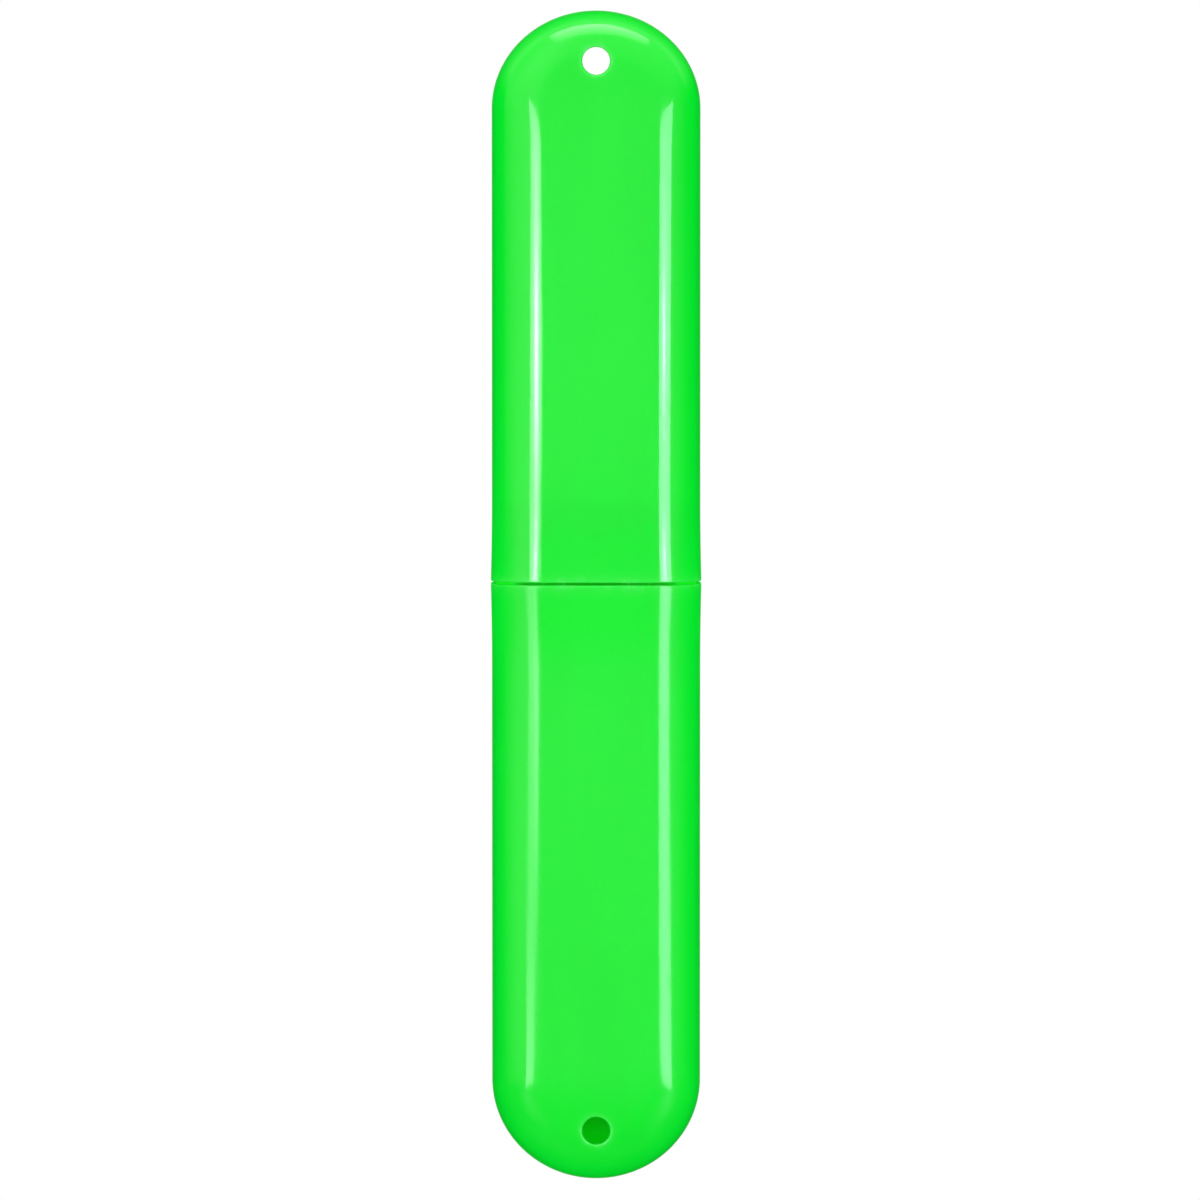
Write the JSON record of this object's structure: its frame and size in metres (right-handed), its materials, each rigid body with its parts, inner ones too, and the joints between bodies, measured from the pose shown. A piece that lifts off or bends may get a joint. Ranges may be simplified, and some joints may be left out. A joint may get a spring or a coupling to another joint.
{
  "type": "travel toothbrush case",
  "caption": "Flat oval two-piece travel case for a toothbrush: a body with a neck, a slide-on cap, and vent holes.",
  "frame": {"origin": "under the middle of the closed case, on the plane of its flat back", "axes": "+Y along the case towards the cap's tip, +Z out of the front face, +X to the right seen from the front"},
  "size_m": [0.0368, 0.205, 0.0207],
  "materials": {
    "green_plastic": "glossy"
  },
  "bodies": {
    "body": {"case_body": "green_plastic"},
    "cap": {"case_cap": "green_plastic"}
  },
  "joints": [
    {"name": "cap_slide", "type": "slide", "parent": "body", "child": "cap", "axis": [0, 1, 0], "range_m": [0, 0.12]}
  ]
}
